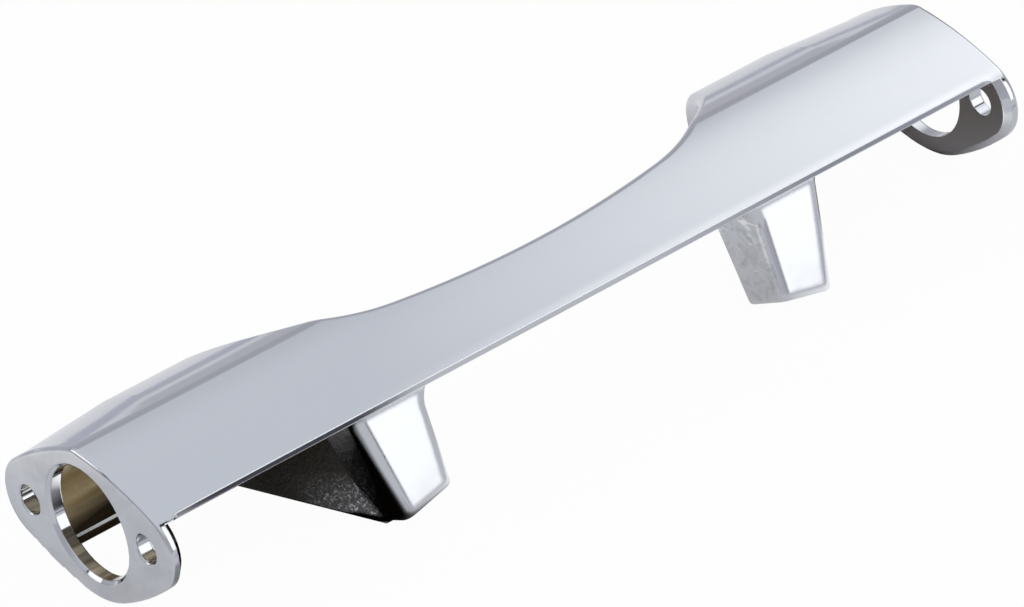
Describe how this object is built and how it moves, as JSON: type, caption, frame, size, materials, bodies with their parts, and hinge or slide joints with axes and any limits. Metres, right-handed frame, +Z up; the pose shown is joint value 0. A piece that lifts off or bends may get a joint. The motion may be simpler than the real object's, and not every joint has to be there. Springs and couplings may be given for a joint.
{
  "type": "indicator lamp bracket",
  "caption": "chrome-plated hollow bar with a waist, a two-bolt lamp flange at each end and two webbed legs, for carrying indicator lamps on a mudguard",
  "frame": {"origin": "centre of the bounding box, on the floor under the part as it lies on its feet and flange undersides", "axes": "X along the bar, Y from the lip at the front to the waist at the back, Z up"},
  "size_m": [0.28, 0.0712, 0.0422],
  "materials": {
    "chrome_plate": "polished"
  },
  "bodies": {
    "root": {"lamp_bracket": "chrome_plate"}
  },
  "joints": []
}
